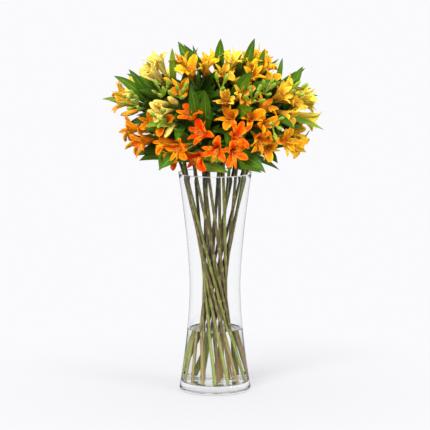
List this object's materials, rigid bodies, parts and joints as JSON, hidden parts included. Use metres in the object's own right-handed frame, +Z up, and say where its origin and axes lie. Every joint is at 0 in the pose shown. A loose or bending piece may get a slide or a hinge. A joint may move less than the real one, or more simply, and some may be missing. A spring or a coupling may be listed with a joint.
{
  "type": "alstroemeria in vase",
  "caption": "Bouquet of orange and yellow alstroemeria in a tall waisted clear glass vase, stems crossing and standing in water.",
  "frame": {"origin": "middle of the vase's underside, on the surface it stands on", "axes": "+Z up along the vase's axis, the front of the bouquet facing -Y, +X to the right seen from the front"},
  "size_m": [0.397, 0.3216, 0.6348],
  "materials": {
    "clear_glass": "polished",
    "water": "polished",
    "leaf_green": "satin",
    "petal_scarlet": "satin",
    "petal_vermilion": "satin",
    "petal_orange": "satin",
    "petal_amber": "satin",
    "petal_apricot": "satin",
    "petal_yellow": "satin",
    "petal_cream": "satin"
  },
  "bodies": {
    "root": {"vase": "clear_glass", "water": "water", "stem_front_low": "leaf_green", "flowers_front_low": "petal_scarlet", "stem_front_low_left": "leaf_green", "flowers_front_low_left": "petal_vermilion", "stem_left_low": "leaf_green", "flowers_left_low": "petal_orange", "stem_right_low": "leaf_green", "flowers_right_low": "petal_amber", "stem_front_right": "leaf_green", "flowers_front_right": "petal_orange", "stem_front_high": "leaf_green", "flowers_front_high": "petal_apricot", "stem_front_left": "leaf_green", "flowers_front_left": "petal_cream", "stem_crown_left": "leaf_green", "flowers_crown_left": "petal_amber", "stem_left_high": "leaf_green", "flowers_left_high": "petal_cream", "stem_crown_front": "leaf_green", "flowers_crown_front": "petal_yellow", "stem_crown_right": "leaf_green", "flowers_crown_right": "petal_amber", "stem_right_high": "leaf_green", "flowers_right_high": "petal_apricot", "stem_right_tip": "leaf_green", "flowers_right_tip": "petal_yellow", "stem_left_tip": "leaf_green", "flowers_left_tip": "petal_apricot", "stem_back_left_low": "leaf_green", "flowers_back_left_low": "petal_orange", "stem_back_right_low": "leaf_green", "flowers_back_right_low": "petal_amber", "stem_back_middle": "leaf_green", "flowers_back_middle": "petal_scarlet", "stem_back_left_high": "leaf_green", "flowers_back_left_high": "petal_cream", "stem_back_right_high": "leaf_green", "flowers_back_right_high": "petal_orange"}
  },
  "joints": []
}
